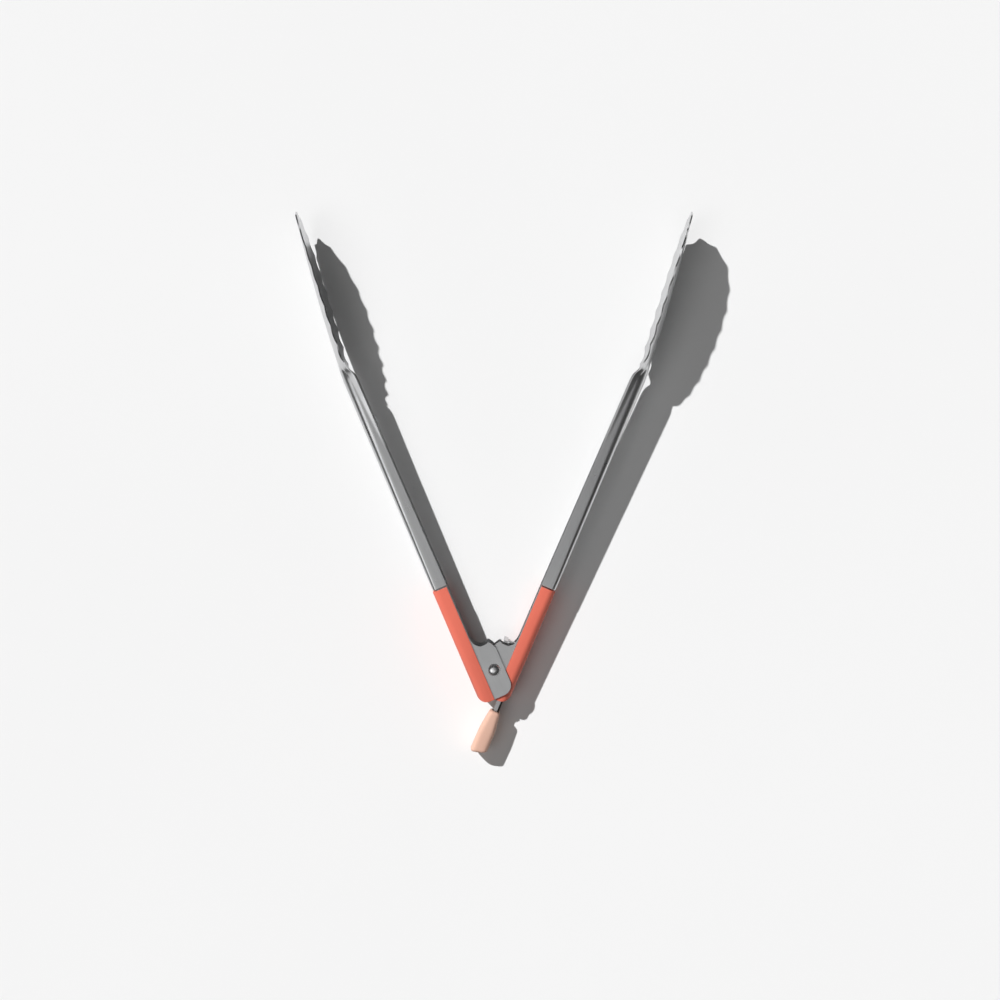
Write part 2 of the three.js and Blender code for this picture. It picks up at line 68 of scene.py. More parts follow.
# Channel, from the grips to the neck
ARM_BACK, ARM_LIP = 14.8, 6.1
NECK, NECK_BACK, NECK_LIP, NECK_HALF = 187, 15, 7.3, 7.6
CORNER, NECK_CORNER = 2.2, 4.6
FLARE_START, FLARE_RISE, FLARE_WIDTH = 143, 0.6, 2.9
WEB_POINTS, BEND_POINTS, FACET_POINTS = 5, 6, 8
FOLD = WEB_POINTS + BEND_POINTS  # index of the point where the bend meets the flat side

# Hinge end, where the sheet is stepped in to seat the grips
HEEL, HEEL_RADIUS = -15.8, 6
SEAT_BACK, SEAT_END, SEAT_STEP = 13.4, 55.2, 0.8
FOLD_START = 4.3  # height over the heel where the back's bend starts

# Ears: where they start in the channel, their free edge, and their wavy upper edge. The points that
# pull its curves are given as (x, y), the bump's x from the end of the dip.
EAR_TOP, EAR_EDGE, EAR_ROOT, EAR_DIP, EAR_BUMP = 24, -6, 23, 15.5, 16.2
DIP = (-1.6, 1.8)
DIP_PULLS = ((ARM_LIP - 0.3, 18.8), (4.6, EAR_DIP + 1.2))
BUMP_AT, BUMP_EASE = 1.3, 0.6
EDGE_PULLS = ((-2.1, EAR_BUMP), (-2.8, 14))
EAR_SHOULDER = 11.6
STOP_CORNER = ((EAR_EDGE, HEEL + 6), (-0.3, HEEL))
ROUND_CORNER = ((EAR_EDGE, HEEL + 6.8), (EAR_EDGE, HEEL + 3.4), (-4, HEEL), (0.5, HEEL))
HEEL_CURVE_START, HEEL_CURVE_PULL, HEEL_CURVE_RISE = 7.4, 9.2, 1.8

# Paddle
PADDLE_LENGTH, PADDLE_HALF, PADDLE_WIDEST, PADDLE_ROOT, TIP_POWER = 100.5, 20.7, 58, 60, 2.5
PADDLE_LEAN, PADDLE_BOW = math.radians(7.3), 1.2
DISH_DEPTH, DISH_POWER = 4.2, 2.2
NECK_BLEND = (185, 199)  # the channel turns into the dish between these
SCALLOPS, SCALLOP_DEPTH, SCALLOP_STEPS, SCALLOP_POWER = 10, 1.5, 12, 1.2
FINE_RIM = 4000  # steps along the plain rim that the scallops are spaced on
FAN_CENTRE = 262  # the tip's surface fans out from here

# Grips
GRIP_END, GRIP_BACK, GRIP_LIP, GRIP_WALL, GRIP_CORNER = 55, 15.2, 6.4, 0.9, 4.2
GRIP_EDGE, GUIDE_RECESS = 0.3, 1.2
CUT_HALF = 15  # half height of what is cut away at the heel

# Rivet, spacer, washers and torsion spring, round the hinge axis
PIN_RADIUS, PIN_REACH = 1.75, 1.1
PIN_HOLE = PIN_RADIUS + GAP
RIVET_RADIUS, RIVET_HEIGHT, RIVET_RIM = 3.45, 1.9, 0.35
SPACER_RADIUS, WASHER_RADIUS, RING_EDGE = 3.2, 4.6, 0.12
WIRE_RADIUS, WIRE_EDGE, WIRE_SIDES = 0.6, 0.15, 16
COIL_RADIUS, COIL_LOW, COIL_HIGH, COIL_TURNS = 4.2, -3.5, 3.9, 4
LEG, LEG_SPLAY = 33, math.radians(12.7)
LEG_STEPS, COIL_STEPS = 12, 300

# Lock slider, its guide rivet and the pull tab
STRIP_BACK, STRIP_SHEET = SEAT_BACK - SHEET - GAP, 1
STRIP_Z = (-3.8, 2.6)
LINK, LINK_DEPTH = (-31, -3), 3
BAR, BAR_HALF_WIDTH, BAR_HALF_HEIGHT, TONGUE_BOTTOM = (17.4, 18.4), 1.2, 9.4, -2.3
LOCK_TRAVEL, SLIDER_EDGE = 1.6, 0.14
GUIDE_AT, GUIDE_RADIUS, GUIDE_HEAD = 8, 1.1, 2.3
GUIDE_LOW_HEAD = ((0, 0.8), (1.5, 0.8), (2.05, 0.6), (GUIDE_HEAD, 0.3))  # (radius, height)
GUIDE_TOP_HEAD = ((GUIDE_HEAD, 0.3), (2.05, 0.5), (1.5, 0.6), (0, 0.6))
TAB = (-50, -23)
TAB_AXIS, TAB_SHOULDER, TAB_SLANT, TAB_TALL, TAB_SOFT = 10.5, -36, 2.8, 6.0, 1.7
TAB_ROOT_HALF, TAB_SWELL, TAB_SPREAD = 3.1, 1.6, 0.2
TAB_EASE, TAB_END_HALF = (-0.2, 1.15), 4.9
TAB_RINGS, TAB_SIDES, TAB_SQUARE = 56, 64, 3.6

ARMS = {
    "outer": {"side": -1, "bare": 8, "ear": 8.6, "stop": False},
    "inner": {"side": 1, "bare": 6.9, "ear": 6.3, "stop": True},
}

# Floor, lights and camera, in the floor's frame, in metres
FLOOR_REACH = 3.0
RIM_ACROSS = 5  # where the paddles' lower rims rest, in millimetres outwards from the arm's axis
SUN_ELEVATION, SUN_LEVEL, SUN_ANGLE = math.radians(43), 4.02, math.radians(1.3)
SOFT_BOX = (-0.22, -0.12, 0.97)  # direction towards the soft box
BOX_CORE = (-0.50, -0.22, 0.84)  # direction towards its brightest part
ROOM, BOX_LEVEL, CORE_LEVEL = 0.055, 0.72, 0.8
HORIZON = ((0, 0.36), (0.14, 0.26), (0.3, ROOM), (1, ROOM))  # (height, level)
BOX_EDGE = ((0.885, 0), (0.94, BOX_LEVEL))  # (cosine of the angle from its middle, level)
CORE_EDGE = ((0.955, 0), (0.985, CORE_LEVEL))
OVERHEAD = ((0.985, 1), (0.996, 0.12))  # (height, share of the soft box's level)
CAMERA_PLACE, LENS, SENSOR, CLIP = (0.0034, -0.1265, 0.9), 54.9, 36, (0.01, 20)


def mix(a, b, part):
    return a + (b - a) * part


def clamp(value):
    return min(max(value, 0), 1)


def smooth(value, low, high):
    part = clamp((value - low) / (high - low))
    return part * part * (3 - 2 * part)


def full_turn(count):
    """Angles evenly spaced round a circle."""
    return [2 * math.pi * i / count for i in range(count)]


# Placing


def side_matrix(side):
    """From an arm's own frame, in millimetres, to the row frame, in metres."""
    turn = Matrix.Rotation(-side * HALF_OPENING, 4, "Z")
    size = Matrix.Diagonal((side * MM, MM, MM, 1))
    return Matrix.Translation(HINGE) @ turn @ size


def hinge_matrix():
    return Matrix.Translation(HINGE) @ Matrix.Scale(MM, 4)


def mark_edges(mesh, sharp):
    """Smooth shading, apart from edges sharper than an angle in degrees."""
    mesh.polygons.foreach_set("use_smooth", [True] * len(mesh.polygons))
    mesh.set_sharp_from_angle(angle=math.radians(sharp))


def make_object(name, bm, matrix, material, sharp=35):
    """A mesh object whose vertices lie in the row frame."""
    bm.transform(matrix)
    if matrix.determinant() < 0:
        bmesh.ops.reverse_faces(bm, faces=bm.faces)
    mesh = bpy.data.meshes.new(name)
    bm.to_mesh(mesh)
    bm.free()
    mark_edges(mesh, sharp)
    obj = bpy.data.objects.new(name, mesh)
    bpy.context.scene.collection.objects.link(obj)
    mesh.materials.append(material)
    return obj


def add_bevel(obj, width, segments=2, angle=40):
    bevel = obj.modifiers.new("edges", "BEVEL")
    bevel.width = width * MM
    bevel.segments = segments
    bevel.limit_method = "ANGLE"
    bevel.angle_limit = math.radians(angle)
    bevel.harden_normals = False


def apply_modifiers(obj, sharp=35, flat=False):
    """Bakes the modifiers into the mesh and marks its sharp edges again."""
    graph = bpy.context.evaluated_depsgraph_get()
    mesh = bpy.data.meshes.new_from_object(obj.evaluated_get(graph))
    obj.modifiers.clear()
    old = obj.data
    obj.data = mesh
    bpy.data.meshes.remove(old)
    mark_edges(mesh, sharp)
    if flat:
        weighted = obj.modifiers.new("flat", "WEIGHTED_NORMAL")
        weighted.keep_sharp = True
        weighted.weight = 60


def cut(obj, *cutters):
    """Takes the cutters' shapes out of a piece."""
    for cutter in cutters:
        boolean = obj.modifiers.new("cut", "BOOLEAN")
        boolean.operation = "DIFFERENCE"
        boolean.object = cutter
    apply_modifiers(obj)
    for cutter in cutters:
        mesh = cutter.data
        bpy.data.objects.remove(cutter)
        bpy.data.meshes.remove(mesh)


# Surfaces and outlines


def add_face(bm, corners):
    """A face between corners, some of which may be the same vertex."""
    corners = list(dict.fromkeys(corners))
    if len(corners) > 2:
        bm.faces.new(corners)


def grid_faces(bm, rows):
    """Quads between neighbouring rows of vertices, which may share vertices."""
    for low, high in zip(rows, rows[1:]):
        for j in range(len(low) - 1):
            add_face(bm, [low[j], low[j + 1], high[j + 1], high[j]])


def ring_faces(bm, low, high):
    """Quads between two closed rings of vertices, which may share vertices."""
    for i in range(len(low)):
        j = (i + 1) % len(low)
        add_face(bm, [low[i], low[j], high[j], high[i]])


def loft(rings):
    """A closed solid through rings of points, with flat ends."""
    bm = bmesh.new()
    rows = [[bm.verts.new(point) for point in ring] for ring in rings]
    for low, high in zip(rows, rows[1:]):
        ring_faces(bm, low, high)
    bm.faces.new(rows[0])
    bm.faces.new(rows[-1])
    bmesh.ops.recalc_face_normals(bm, faces=bm.faces)
    return bm


def prism(outline, low, high, lift):
    """A closed prism on an outline; lift turns (point, height) into a place."""
    bm = bmesh.new()
    bottom = [bm.verts.new(lift(p, low)) for p in outline]
    top = [bm.verts.new(lift(p, high)) for p in outline]
    bm.faces.new(bottom)
    bm.faces.new(top)
    ring_faces(bm, bottom, top)
    bmesh.ops.recalc_face_normals(bm, faces=bm.faces)
    return bm


def lift_plan(point, height):
    """An outline in plan (x outwards, y along the arm) raised to a height."""
    return (point[0], point[1], height)


def lift_section(point, along):
    """A cross-section outline (x outwards, y up) set at a place along the arm."""
    return (point[0], along, point[1])


def lift_cross(point, out):
    """An outline on the arm's back (x along, y up) set at a distance outwards."""
    return (out, point[0], point[1])


def arc(centre, radius, start, end, count):
    made = []
    for i in range(count + 1):
        angle = math.radians(mix(start, end, i / count))
        made.append((centre[0] + radius * math.cos(angle), centre[1] + radius * math.sin(angle)))
    return made


def bezier(points, count):
    """Points on a cubic curve after its first one."""
    a, b, c, d = (Vector(p) for p in points)
    made = []
    for i in range(1, count + 1):
        t = i / count
        s = 1 - t
        made.append(a * s**3 + b * 3 * s * s * t + c * 3 * s * t * t + d * t**3)
    return made


def stadium(low, high, middle, radius):
    """Long round-ended outline along x."""
    right = arc((high - radius, middle), radius, -90, 90, 12)
    return right + arc((low + radius, middle), radius, 90, 270, 12)


def box_outline(x, y):
    return [(x[0], y[0]), (x[1], y[0]), (x[1], y[1]), (x[0], y[1])]


# Arms


def rim_point(t):
    """Half of the paddle's plain rim, from the tip to the neck: (half width, place along the arm)."""
    if t < 0.5:
        angle = math.pi * t
        half = PADDLE_HALF * math.sin(angle) ** (2 / TIP_POWER)
        reach = (PADDLE_LENGTH - PADDLE_WIDEST) * math.cos(angle) ** (2 / TIP_POWER)
        return Vector((half, NECK + PADDLE_WIDEST + reach))
    angle = (2 * t - 1) * math.asin(PADDLE_WIDEST / PADDLE_ROOT)
    half = PADDLE_HALF * math.cos(angle)
    return Vector((half, NECK + PADDLE_WIDEST - PADDLE_ROOT * math.sin(angle)))


def scalloped_rim():
    """Points along the scalloped rim, evenly spaced, from the tip to the neck."""
    fine = [rim_point(i / FINE_RIM) for i in range(FINE_RIM + 1)]
    lengths = [0.0]
    for before, after in zip(fine, fine[1:]):
        lengths.append(lengths[-1] + (after - before).length)
    steps = SCALLOPS * SCALLOP_STEPS
    points = []
    k = 0
    for i in range(steps + 1):
        goal = lengths[-1] * i / steps
        while k < len(lengths) - 2 and lengths[k + 1] < goal:
            k += 1
        part = (goal - lengths[k]) / (lengths[k + 1] - lengths[k])
        way = (fine[k + 1] - fine[k]).normalized()
        wave = math.sin(math.pi * (i % SCALLOP_STEPS) / SCALLOP_STEPS) ** SCALLOP_POWER
        inwards = Vector((way.y, -way.x)) * SCALLOP_DEPTH * wave
        points.append(fine[k].lerp(fine[k + 1], part) + inwards)
    points[0].x = 0
    return points


def paddle_back(along):
    from_neck = along - NECK
    part = clamp(from_neck / PADDLE_LENGTH)
    bow = PADDLE_BOW * 4 * part * (1 - part)
    return NECK_BACK - from_neck * math.tan(PADDLE_LEAN) + bow


def paddle_half(along):
    """Half width of the paddle without its scallops."""
    from_widest = along - NECK - PADDLE_WIDEST
    if from_widest < 0:
        return PADDLE_HALF * math.sqrt(max(1 - (from_widest / PADDLE_ROOT) ** 2, 0))
    reach = min(from_widest / (PADDLE_LENGTH - PADDLE_WIDEST), 1)
    return PADDLE_HALF * (1 - reach**TIP_POWER) ** (1 / TIP_POWER)


def dish(across, along):
    """A point on the paddle's outside. The dish runs out towards the tip."""
    part = clamp((along - NECK) / PADDLE_LENGTH)
    half = max(paddle_half(along), NECK_HALF)
    drop = DISH_DEPTH * (1 - part**3) * (abs(across) / half) ** DISH_POWER
    return Vector((paddle_back(along) - drop, along, across))


def channel_side(along, arm):
    """Half of the channel's outside at one place, from the middle of its back to its lip."""
    seated = smooth(along, SEAT_END, SEAT_END + SEAT_STEP)
    part = max((along - SEAT_END) / (NECK - SEAT_END), 0)
    back = mix(SEAT_BACK, mix(ARM_BACK, NECK_BACK, part), seated)
    half = mix(arm["ear"], mix(arm["bare"], NECK_HALF, part), seated)
    lip = mix(ARM_LIP, NECK_LIP, part)
    flare = clamp((along - FLARE_START) / (NECK - FLARE_START))
    fold = lip + mix(1, FLARE_WIDTH, flare)
    corner = mix(CORNER, NECK_CORNER, part)
    points = [(back, (half - corner) * i / WEB_POINTS) for i in range(WEB_POINTS)]
    for i in range(BEND_POINTS + 1):
        angle = math.pi / 2 * i / BEND_POINTS
        x = back - corner + corner * math.cos(angle)
        points.append((x, half - corner + corner * math.sin(angle)))
    for i in (1, 2, 3):
        points.append((mix(back - corner, fold, i / 3), half))
    for i in range(1, FACET_POINTS - 3):
        step = i / (FACET_POINTS - 4)
        rise = FLARE_RISE * flare * mix(step, smooth(step, 0, 1), 0.5)
        points.append((mix(fold, lip, step), half + rise))
    return [Vector((x, along, z)) for x, z in points]


def neck_side(reach, along, arm):
    """Half section where the channel opens into the dish, and of the dish itself."""
    blend = smooth(along, *NECK_BLEND)
    channel = channel_side(min(along, NECK_BLEND[1]), arm) if blend < 1 else None
    count = FOLD + FACET_POINTS
    points = []
    for j in range(count):
        point = dish(reach * j / (count - 1), along)
        if channel:
            flat = channel[j].copy()
            flat.y = along
            point = flat.lerp(point, blend)
        points.append(point)
    return points


def arm_places():
    """Places along the channel for its sections, closer together where it changes."""
    step_end = SEAT_END + SEAT_STEP
    ends = (HEEL + FOLD_START, EAR_TOP, SEAT_END, step_end, FLARE_START, NECK_BLEND[0])
    counts = (9, 6, 5, 16, 14)
    places = [ends[0]]
    for low, high, count in zip(ends, ends[1:], counts):
        places += [mix(low, high, i / count) for i in range(1, count + 1)]
    return places


def ear_outline(arm):
    """The ear's free edge in plan, from the channel's lip round to its heel corner."""
    dip_end, dip_start = DIP
    edge = [Vector((ARM_LIP, EAR_ROOT))]
    edge += bezier([(ARM_LIP, EAR_ROOT), *DIP_PULLS, (dip_start, EAR_DIP)], 10)
    edge.append(Vector((dip_end, EAR_DIP)))
    bump = (dip_end - BUMP_AT, EAR_BUMP)
    ease = dip_end - BUMP_EASE
    edge += bezier([(dip_end, EAR_DIP), (ease, EAR_DIP), (ease, EAR_BUMP), bump], 4)
    pulls = [(dip_end + x, y) for x, y in EDGE_PULLS]
    edge += bezier([bump, *pulls, (EAR_EDGE, EAR_SHOULDER)], 7)
    if arm["stop"]:
        edge += [Vector(point) for point in STOP_CORNER]
    else:
        edge.append(Vector(ROUND_CORNER[0]))
        edge += bezier(ROUND_CORNER, 9)
    fold = SEAT_BACK - CORNER
    corner = [(HEEL_CURVE_START, HEEL), (HEEL_CURVE_PULL, HEEL)]
    corner += [(fold - 0.1, HEEL + HEEL_CURVE_RISE), (fold, HEEL + FOLD_START)]
    edge.append(Vector(corner[0]))
    return edge + bezier(corner, 6)[:-1]


def add_ear(bm, arm, fold_line, flange):
    """Fills the flat ear between the bend's edge, the channel's side and the ear's outline."""
    height = arm["ear"]
    edge = [bm.verts.new((p.x, p.y, height)) for p in ear_outline(arm)]
    hole = []
    for angle in full_turn(40):
        hole.append(bm.verts.new((PIN_HOLE * math.cos(angle), PIN_HOLE * math.sin(angle), height)))
    edges = []
    for ring in (flange + edge + fold_line, hole):
        for a, b in zip(ring, ring[1:] + ring[:1]):
            edges.append(bm.edges.get((a, b)) or bm.edges.new((a, b)))
    made = bmesh.ops.triangle_fill(bm, use_beauty=True, edges=edges, normal=(0, 0, 1))
    faces = [f for f in made["geom"] if isinstance(f, bmesh.types.BMFace)]
    wrong = [f for f in faces if f.normal.z < 0]
    bmesh.ops.reverse_faces(bm, faces=wrong)


def add_channel(bm, arm):
    """The channel's upper half with its ear. Returns the row of vertices at its far end."""
    rows = []
    for along in arm_places():
        side = channel_side(along, arm)
        keep = side if along >= EAR_TOP - 0.001 else side[: FOLD + 1]
        rows.append([bm.verts.new(p) for p in keep])
    joined = next(i for i, row in enumerate(rows) if len(row) > FOLD + 1)
    grid_faces(bm, [row[: FOLD + 1] for row in rows])
    grid_faces(bm, [row[FOLD:] for row in rows[joined:]])
    fold_line = [row[FOLD] for row in rows[: joined + 1]]
    add_ear(bm, arm, fold_line, flange=rows[joined][FOLD + 1 :])
    return rows[-1]


def add_paddle(bm, arm, first_row):
    """The paddle's upper half, in sections across it and then in rays round its tip."""
    rim = [p for p in scalloped_rim() if p.y > NECK_BLEND[0] + 1]
    waist = NECK_HALF + FLARE_RISE
    rows = [first_row]
    for point in reversed([p for p in rim if p.y <= FAN_CENTRE]):
        side = neck_side(max(point.x, waist), point.y, arm)
        rows.append([bm.verts.new(p) for p in side])
    grid_faces(bm, rows)
    spine = rows[-1][0]
    rays = [rows[-1]]
    for point in reversed([p for p in rim if p.y > FAN_CENTRE]):
        ray = [spine]
        for j in range(1, len(rays[0])):
            part = j / (len(rays[0]) - 1)
            along = mix(spine.co.y, point.y, part)
            ray.append(bm.verts.new(dish(point.x * part, along)))
        rays.append(ray)
    grid_faces(bm, rays)


def add_mirror_image(bm):
    """Turns the faces' normals outwards, then adds the lower half and joins the two."""
    bmesh.ops.recalc_face_normals(bm, faces=bm.faces)
    back = max(bm.faces, key=lambda f: f.calc_center_median().x)
    back.normal_update()
    if back.normal.x < 0:
        bmesh.ops.reverse_faces(bm, faces=bm.faces)
    whole = bmesh.ops.duplicate(bm, geom=list(bm.verts) + list(bm.edges) + list(bm.faces))
    faces = [item for item in whole["geom"] if isinstance(item, bmesh.types.BMFace)]
    for item in whole["geom"]:
        if isinstance(item, bmesh.types.BMVert):
            item.co.z = -item.co.z
    bmesh.ops.reverse_faces(bm, faces=faces)
    bmesh.ops.remove_doubles(bm, verts=bm.verts, dist=1e-4)


def make_arm(name, arm, material):
    bm = bmesh.new()
    add_paddle(bm, arm, add_channel(bm, arm))
    add_mirror_image(bm)
    obj = make_object(name, bm, side_matrix(arm["side"]), material)
    sheet = obj.modifiers.new("sheet", "SOLIDIFY")
    sheet.thickness = SHEET * MM
    sheet.offset = -1
    sheet.use_even_offset = True
    add_bevel(obj, SHEET_EDGE, 4, 50)
    apply_modifiers(obj, flat=True)
    return obj


# Materials


class Nodes:
    """The nodes of one material or world under construction."""

    def __init__(self, tree):
        self.tree = tree

    def node(self, kind, inputs, operation=None):
        """A new node. Each input is a number, a vector or another node's output."""
        made = self.tree.nodes.new(kind)
        if operation:
            made.operation = operation
        for key, value in inputs.items():
            if isinstance(value, bpy.types.NodeSocket):
                self.tree.links.new(value, made.inputs[key])
            else:
                made.inputs[key].default_value = value
        return made

    def ramp(self, value, *stops):
        """Maps a value through (value, colour or grey level) stops."""
        made = self.node("ShaderNodeValToRGB", {"Fac": value})
        elements = made.color_ramp.elements
        while len(elements) < len(stops):
            elements.new(0.5)
        for element, (place, colour) in zip(elements, stops):
            if not isinstance(colour, tuple):
                colour = (colour, colour, colour)
            element.position = place
            element.color = (*colour, 1)
        return made.outputs["Color"]


class Look(Nodes):
    """A material on the object's own coordinates."""

    def __init__(self, name):
        self.material = bpy.data.materials.new(name)
        self.material.use_nodes = True
        super().__init__(self.material.node_tree)
        self.shader = self.tree.nodes["Principled BSDF"]
        self.place = self.tree.nodes.new("ShaderNodeTexCoord").outputs["Object"]

    def set(self, **values):
        for name, value in values.items():
            self.shader.inputs[name.replace("_", " ")].default_value = value

    def feed(self, name, output):
        self.tree.links.new(output, self.shader.inputs[name])

    def noise(self, stretch=(1, 1, 1), turn=0.0, scale=1.0, detail=3, rough=0.5):
        """Noise that is scaled along each axis after a turn about z."""
        turned = self.node("ShaderNodeMapping", {"Vector": self.place, "Rotation": (0, 0, turn)})
        scaled = {"Vector": turned.outputs["Vector"], "Scale": stretch}
        vector = self.node("ShaderNodeMapping", scaled).outputs["Vector"]
        inputs = {"Vector": vector, "Scale": scale, "Detail": detail, "Roughness": rough}
        return self.node("ShaderNodeTexNoise", inputs).outputs["Fac"]

    def bump(self, height, distance, strength):
        inputs = {"Height": height, "Distance": distance, "Strength": strength}
        last = self.shader.inputs["Normal"]
        if last.is_linked:
            inputs["Normal"] = last.links[0].from_socket
        self.tree.links.new(self.node("ShaderNodeBump", inputs).outputs["Normal"], last)


def steel_look(name, turn, tint, rough, streak=1.0):
    """Rolled stainless sheet: fine lengthwise grain, faint smudges and a little waviness."""
    look = Look(name)
    look.set(Metallic=1.0)
    grain = look.noise((2600, 45, 2600), turn, detail=4, rough=0.6)
    smudge = look.noise((70, 45, 70), turn)
    wave = look.noise((160, 30, 160), turn, detail=2, rough=0.4)
    look.feed("Roughness", look.ramp(smudge, (0.3, rough - 0.05), (0.75, rough + 0.08)))
    dark = tuple(c * 0.93 for c in tint)
    look.feed("Base Color", look.ramp(grain, (0.25, dark), (0.75, tint)))
    look.bump(grain, distance=0.00001 * streak, strength=0.6)
    look.bump(wave, distance=0.00012 * streak, strength=0.5)
    return look.material


def polished_look():
    """Polished steel with fine rubbed marks."""
    look = Look("polished_rivet")
    look.set(Metallic=1.0)
    marks = look.noise((900, 900, 900), detail=4, rough=0.6)
    look.feed("Roughness", look.ramp(marks, (0.3, 0.2), (0.7, 0.3)))
    look.feed("Base Color", look.ramp(marks, (0.3, (0.8, 0.8, 0.81)), (0.7, (0.86, 0.86, 0.87))))
    return look.material


def soft_look(name, light, dark, rough):
    """Matt moulded silicone: a very fine tooth and slow changes of tone."""
    look = Look(name)
    look.set(Specular_IOR_Level=0.35)
    tooth = look.noise(scale=5200, detail=2, rough=0.6)
    tone = look.noise(scale=55)
    look.feed("Base Color", look.ramp(tone, (0.3, dark), (0.72, light)))
    look.feed("Roughness", look.ramp(tone, (0.3, rough - 0.04), (0.7, rough + 0.06)))
    look.bump(tooth, distance=0.00002, strength=0.5)
    return look.material


def tone_look(name, dark, light, scale, **values):
    """A plain surface that changes a little in tone."""
    look = Look(name)
    look.set(**values)
    tone = look.noise(scale=scale, detail=2)
    look.feed("Base Color", look.ramp(tone, (0.3, dark), (0.7, light)))
    return look.material


outer_steel = steel_look("outer_stainless", -HALF_OPENING, (0.66, 0.665, 0.67), 0.3)
inner_steel = steel_look("inner_stainless", HALF_OPENING, (0.68, 0.685, 0.69), 0.3)
link_steel = steel_look("link_stainless", HALF_OPENING, (0.66, 0.66, 0.665), 0.4, 0.2)
plain_steel = steel_look("tube_stainless", 0.0, (0.64, 0.64, 0.65), 0.32)
wire_steel = steel_look("drawn_wire", 0.0, (0.5, 0.5, 0.51), 0.28)
polished = polished_look()
coral = soft_look("grip_coral", (0.74, 0.17, 0.115), (0.70, 0.155, 0.105), 0.55)
peach = soft_look("tab_peach", (0.70, 0.44, 0.34), (0.67, 0.415, 0.32), 0.6)
nylon = tone_look("washer_nylon", (0.74, 0.73, 0.68), (0.82, 0.81, 0.77), 400, Roughness=0.45)


# Grips


def make_cutter(bm, arm, material):
    return make_object("cutter", bm, side_matrix(arm["side"]), material)


def channel_outline(half, back, lip, corner):
    outline = [(lip, -half)]
    outline += arc((back - corner, corner - half), corner, -90, 0, 14)
    outline += arc((back - corner, half - corner), corner, 0, 90, 14)
    return outline + [(lip, half)]


def heel_cutter(arm):
    """What the rounded heel takes off the square end of a grip's back."""
    centre = (GRIP_BACK - HEEL_RADIUS, HEEL + HEEL_RADIUS)
    outline = [(centre[0], HEEL - 2), *arc(centre, HEEL_RADIUS, -90, 0, 24)]
    outline += [(GRIP_BACK + 2, centre[1]), (GRIP_BACK + 2, HEEL - 2)]
    return make_cutter(prism(outline, -CUT_HALF, CUT_HALF, lift_plan), arm, coral)


def guide_cutter(arm, radius, low, high, material):
    """A round hole through the arm's or grip's back at the guide rivet."""
    outline = arc((GUIDE_AT, sum(STRIP_Z) / 2), radius, 0, 360, 32)[:-1]
    return make_cutter(prism(outline, low, high, lift_cross), arm, material)


def make_grip(name, arm):
    half = arm["ear"] + GAP + GRIP_WALL
    outside = channel_outline(half, GRIP_BACK, GRIP_LIP, GRIP_CORNER)
    inside = channel_outline(half - GRIP_WALL, SEAT_BACK + GAP, GRIP_LIP, CORNER)
    bm = prism(outside + inside[::-1], HEEL, GRIP_END, lift_section)
    obj = make_object(name, bm, side_matrix(arm["side"]), coral)
    cutters = [heel_cutter(arm)]
    if arm["stop"]:
        recess = (SEAT_BACK, SEAT_BACK + GUIDE_RECESS)
        cutters.append(guide_cutter(arm, GUIDE_HEAD + GAP, *recess, coral))
    cut(obj, *cutters)
    add_bevel(obj, GRIP_EDGE, 3, 50)
    apply_modifiers(obj, 50)
    return obj


# Hinge pieces, round the hinge axis


def lathe(name, profile, material, matrix, count=72):
    """A turned piece from a closed loop of (radius, height) points."""
    bm = bmesh.new()
    rows = []
    for radius, height in profile:
        if radius:
            ring = [(radius * math.cos(a), radius * math.sin(a), height) for a in full_turn(count)]
            rows.append([bm.verts.new(point) for point in ring])
        else:
            rows.append([bm.verts.new((0, 0, height))] * count)
    pairs = list(zip(rows, rows[1:]))
    if profile[0][0]:
        pairs.append((rows[-1], rows[0]))
    for low, high in pairs:
        ring_faces(bm, low, high)
    bmesh.ops.recalc_face_normals(bm, faces=bm.faces)
    return make_object(name, bm, matrix, material)


def dome(radius, base, height):
    points = arc((0, 0), 1, 0, 90, 14)
    return [(radius * x, base + height * y) for x, y in points[:-1]] + [(0, base + height)]


def make_rivets():
    """The domed rivet, and below it the cap that its pin runs into."""
    seat = ARMS["outer"]["ear"] + GAP
    pin_end = -seat - PIN_REACH
    rise = RIVET_HEIGHT - RIVET_RIM
    top = [(0, pin_end), (PIN_RADIUS, pin_end), (PIN_RADIUS, seat), (RIVET_RADIUS, seat)]
    top += dome(RIVET_RADIUS, seat + RIVET_RIM, rise)
    low = [(0, pin_end - GAP), (PIN_HOLE, pin_end - GAP), (PIN_HOLE, -seat), (RIVET_RADIUS, -seat)]
    low += dome(RIVET_RADIUS, -seat - RIVET_RIM, -rise)
    for name, profile in (("pivot_rivet", top), ("rivet_cap", low)):
        obj = lathe("fine_" + name, profile, polished, hinge_matrix())
        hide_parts(name)
        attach(obj, "outer_arm")


def make_rings():
    spacer_half = ARMS["inner"]["ear"] - SHEET - GAP
    low, high = ARMS["inner"]["ear"] + GAP, ARMS["outer"]["ear"] - SHEET - GAP
    rings = (
        ("spacer_tube", SPACER_RADIUS, -spacer_half, spacer_half, plain_steel, "stainless_sheet"),
        ("upper_washer", WASHER_RADIUS, low, high, nylon, "washer_nylon"),
        ("lower_washer", WASHER_RADIUS, -high, -low, nylon, "washer_nylon"),
    )
    for name, radius, bottom, top, material, slot in rings:
        profile = [(PIN_HOLE, bottom), (radius, bottom), (radius, top), (PIN_HOLE, top)]
        obj = lathe("fine_" + name, profile, material, hinge_matrix())
        add_bevel(obj, RING_EDGE, 3)
        apply_modifiers(obj)
        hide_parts(name)
        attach(obj, "outer_arm")


